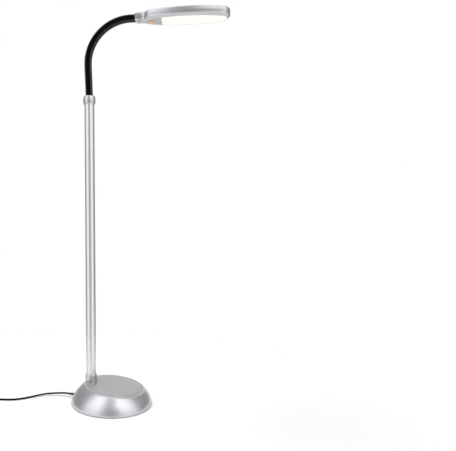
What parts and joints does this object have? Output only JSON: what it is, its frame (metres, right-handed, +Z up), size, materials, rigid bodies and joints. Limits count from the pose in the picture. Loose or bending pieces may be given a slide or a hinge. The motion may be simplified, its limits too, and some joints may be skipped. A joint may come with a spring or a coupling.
{
  "type": "floor reading lamp",
  "caption": "Floor reading lamp: weighted round base with slanted top, straight pole, square ribbed gooseneck and a flat oval light head with a push button",
  "frame": {"origin": "on the floor, under the axis of the pole", "axes": "+X the way the head points, +Y to the left of that, +Z up"},
  "size_m": [0.9093, 0.2536, 1.2272],
  "materials": {
    "satin_silver": "satin silver paint",
    "pole_finish": "satin silver paint",
    "black_rubber": "matt black",
    "iron": "raw",
    "steel": "zinc plated",
    "inner_plastic": "moulded",
    "contact_brass": "bright",
    "diffuser_white": "milky, lit warm white",
    "board_white": "white solder mask",
    "board_green": "green solder mask",
    "button_amber": "translucent"
  },
  "bodies": {
    "stand": {"base_cover": "satin_silver", "base_weight": "iron", "base_bottom_plate": "steel", "floor_pad": "black_rubber", "base_screws": "steel", "driver_case": "inner_plastic", "pole_socket": "pole_finish", "pole_tube": "pole_finish", "pole_foot_plug": "inner_plastic", "pole_threaded_rod": "steel", "pole_nut": "steel", "pole_washer": "steel", "pole_lead": "black_rubber", "pole_top_collar": "pole_finish", "neck_bottom_plug": "inner_plastic", "cord_gland": "black_rubber", "cord_lead": "black_rubber", "cord_coil": "black_rubber", "cord_tie": "black_rubber", "plug_body": "black_rubber", "plug_blades": "contact_brass", "neck_core_0": "steel", "neck_sleeve_0": "black_rubber"},
    "neck_link_1": {"neck_core_1": "steel", "neck_sleeve_1": "black_rubber"},
    "neck_link_2": {"neck_core_2": "steel", "neck_sleeve_2": "black_rubber"},
    "neck_link_3": {"neck_core_3": "steel", "neck_sleeve_3": "black_rubber"},
    "neck_link_4": {"neck_core_4": "steel", "neck_sleeve_4": "black_rubber"},
    "neck_link_5": {"neck_core_5": "steel", "neck_sleeve_5": "black_rubber"},
    "neck_link_6": {"neck_core_6": "steel", "neck_sleeve_6": "black_rubber"},
    "neck_link_7": {"neck_core_7": "steel", "neck_sleeve_7": "black_rubber"},
    "head": {"neck_core_8": "steel", "neck_sleeve_8": "black_rubber", "neck_top_plug": "inner_plastic", "neck_screws": "steel", "head_top_shell": "satin_silver", "head_bottom_shell": "satin_silver", "diffuser": "diffuser_white", "led_board": "board_white", "led_chips": "board_white", "control_board": "board_green", "tact_switch": "inner_plastic"},
    "button": {"button": "button_amber", "switch_stem": "inner_plastic"}
  },
  "joints": [
    {"name": "side_bend", "type": "hinge", "parent": "stand", "child": "neck_link_1", "pos_m": [-0.00073, 0, 0.99291], "axis": [0.9994, 0, 0.0349], "range_deg": [-15, 15]},
    {"name": "side_bend_2", "type": "hinge", "parent": "neck_link_1", "child": "neck_link_2", "pos_m": [-0.00219, 0, 1.03472], "axis": [0.9994, 0, 0.0349], "range_deg": [-15, 15]},
    {"name": "lower_bend", "type": "hinge", "parent": "neck_link_2", "child": "neck_link_3", "pos_m": [-0.00354, 0, 1.07653], "axis": [0, 1, 0], "range_deg": [-15, 13]},
    {"name": "lower_bend_2", "type": "hinge", "parent": "neck_link_3", "child": "neck_link_4", "pos_m": [0.00304, 0, 1.11768], "axis": [0, 1, 0], "range_deg": [-15, 13]},
    {"name": "lower_bend_3", "type": "hinge", "parent": "neck_link_4", "child": "neck_link_5", "pos_m": [0.02169, 0, 1.15495], "axis": [0, 1, 0], "range_deg": [-15, 13]},
    {"name": "upper_bend", "type": "hinge", "parent": "neck_link_5", "child": "neck_link_6", "pos_m": [0.05069, 0, 1.18489], "axis": [0, 1, 0], "range_deg": [-15, 13]},
    {"name": "upper_bend_2", "type": "hinge", "parent": "neck_link_6", "child": "neck_link_7", "pos_m": [0.08736, 0, 1.20468], "axis": [0, 1, 0], "range_deg": [-15, 13]},
    {"name": "upper_bend_3", "type": "hinge", "parent": "neck_link_7", "child": "head", "pos_m": [0.1283, 0, 1.21243], "axis": [0, 1, 0], "range_deg": [-15, 13]},
    {"name": "button_press", "type": "slide", "parent": "head", "child": "button", "axis": [0.0175, 0, 0.9998], "range_m": [0, 0.0015], "stiffness_N_per_m": 1500, "springref_m": -0.0005}
  ],
  "couplings": [
    {"joint": "side_bend_2", "follows": "side_bend", "ratio": 1},
    {"joint": "lower_bend_2", "follows": "lower_bend", "ratio": 1},
    {"joint": "lower_bend_3", "follows": "lower_bend", "ratio": 1},
    {"joint": "upper_bend_2", "follows": "upper_bend", "ratio": 1},
    {"joint": "upper_bend_3", "follows": "upper_bend", "ratio": 1}
  ]
}
